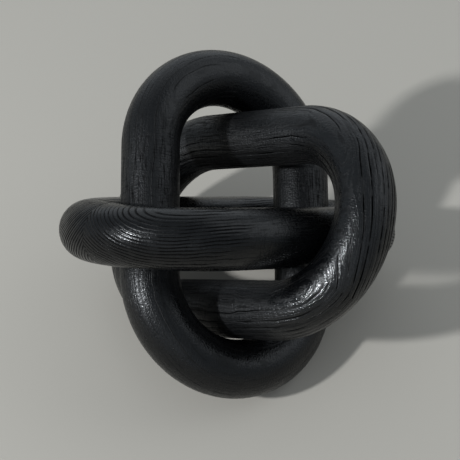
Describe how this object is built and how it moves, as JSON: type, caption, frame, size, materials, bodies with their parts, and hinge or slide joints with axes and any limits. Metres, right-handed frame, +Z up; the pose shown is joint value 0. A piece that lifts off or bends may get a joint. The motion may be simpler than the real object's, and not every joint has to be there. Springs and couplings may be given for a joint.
{
  "type": "puzzle sculpture",
  "caption": "Tabletop puzzle sculpture: equal wooden links of round bar, each threaded through the next so that they hold together loosely and lie on their low ends.",
  "frame": {"origin": "on the table under the middle of the footprint, where the links' low ends rest", "axes": "+Z up from the table; +Y the way the back link's raised end points, away from the picture's viewer; +X to the viewer's right"},
  "size_m": [0.2006, 0.2012, 0.1437],
  "materials": {
    "back_link_wood": "black-stained open-grain hardwood, wire-brushed so the grain stands proud, thin satin lacquer",
    "right_link_wood": "black-stained open-grain hardwood, wire-brushed so the grain stands proud, thin satin lacquer",
    "left_link_wood": "black-stained open-grain hardwood, wire-brushed so the grain stands proud, thin satin lacquer",
    "dowel_wood": "plain unfinished beech dowel, glued in and hidden"
  },
  "bodies": {
    "back_link": {"back_link_upper_half": "back_link_wood", "back_link_lower_half": "back_link_wood", "back_link_raised_dowel": "dowel_wood", "back_link_low_dowel": "dowel_wood"},
    "right_link": {"right_link_upper_half": "right_link_wood", "right_link_lower_half": "right_link_wood", "right_link_raised_dowel": "dowel_wood", "right_link_low_dowel": "dowel_wood"},
    "left_link": {"left_link_upper_half": "left_link_wood", "left_link_lower_half": "left_link_wood", "left_link_raised_dowel": "dowel_wood", "left_link_low_dowel": "dowel_wood"}
  },
  "joints": [
    {"name": "right_link_rock", "type": "hinge", "parent": "back_link", "child": "right_link", "pos_m": [0.00143, -0.00379, 0.04707], "axis": [-0.155, -0.9879, 0], "range_deg": [0, 29]},
    {"name": "left_link_rock", "type": "hinge", "parent": "back_link", "child": "left_link", "pos_m": [0.00143, -0.00379, 0.04707], "axis": [-0.9326, -0.361, 0], "range_deg": [0, 29]}
  ],
  "couplings": [
    {"joint": "left_link_rock", "follows": "right_link_rock", "ratio": 1}
  ]
}
